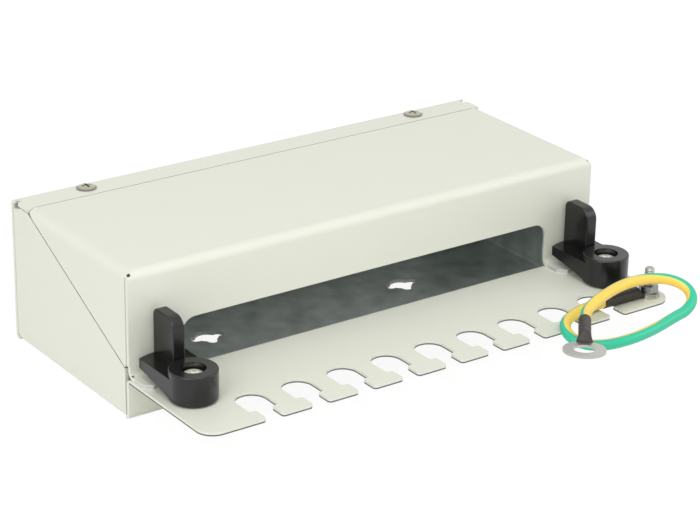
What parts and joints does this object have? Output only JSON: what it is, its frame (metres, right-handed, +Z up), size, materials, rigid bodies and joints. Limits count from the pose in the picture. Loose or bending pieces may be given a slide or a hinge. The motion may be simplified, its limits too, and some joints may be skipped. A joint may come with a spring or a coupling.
{
  "type": "desktop patch panel",
  "caption": "Folded steel desktop patch panel case with a cable comb, a slotted cover held by swinging latches, jack openings at the back and a looped earth lead.",
  "frame": {"origin": "middle of the tray's underside, on the surface that the panel stands on", "axes": "+X to the right along the width, +Y from the cable comb to the tall back wall, +Z up"},
  "size_m": [0.224, 0.1839, 0.0609],
  "materials": {
    "paint": "fine-textured light grey powder coat",
    "latch_plastic": "black moulded plastic, slightly glossy",
    "nickel": "nickel plated",
    "zinc": "zinc plated",
    "tinned_copper": "tinned",
    "sleeve_plastic": "dark soft plastic",
    "wire_insulation": "two-colour insulation, yellow along one side and green along the other"
  },
  "bodies": {
    "panel": {"base_tray": "paint", "cover": "paint", "cover_screw_left": "nickel", "cover_screw_right": "nickel", "cover_nut_left": "zinc", "cover_nut_right": "zinc", "latch_screw_left": "nickel", "latch_screw_right": "nickel", "latch_nut_left": "zinc", "latch_nut_right": "zinc", "earth_stud": "zinc", "earth_washer": "zinc", "earth_nut": "zinc", "lug_fixed": "tinned_copper", "lug_free": "tinned_copper", "sleeve_fixed": "sleeve_plastic", "sleeve_free": "sleeve_plastic", "earth_wire": "wire_insulation"},
    "left_latch": {"latch_left": "latch_plastic"},
    "right_latch": {"latch_right": "latch_plastic"}
  },
  "joints": [
    {"name": "left_latch_swing", "type": "hinge", "parent": "panel", "child": "left_latch", "pos_m": [-0.098, -0.07025, 0.0168], "axis": [0, 0, 1], "range_deg": [-90, 90]},
    {"name": "right_latch_swing", "type": "hinge", "parent": "panel", "child": "right_latch", "pos_m": [0.098, -0.07025, 0.0168], "axis": [0, 0, 1], "range_deg": [-90, 90]}
  ]
}
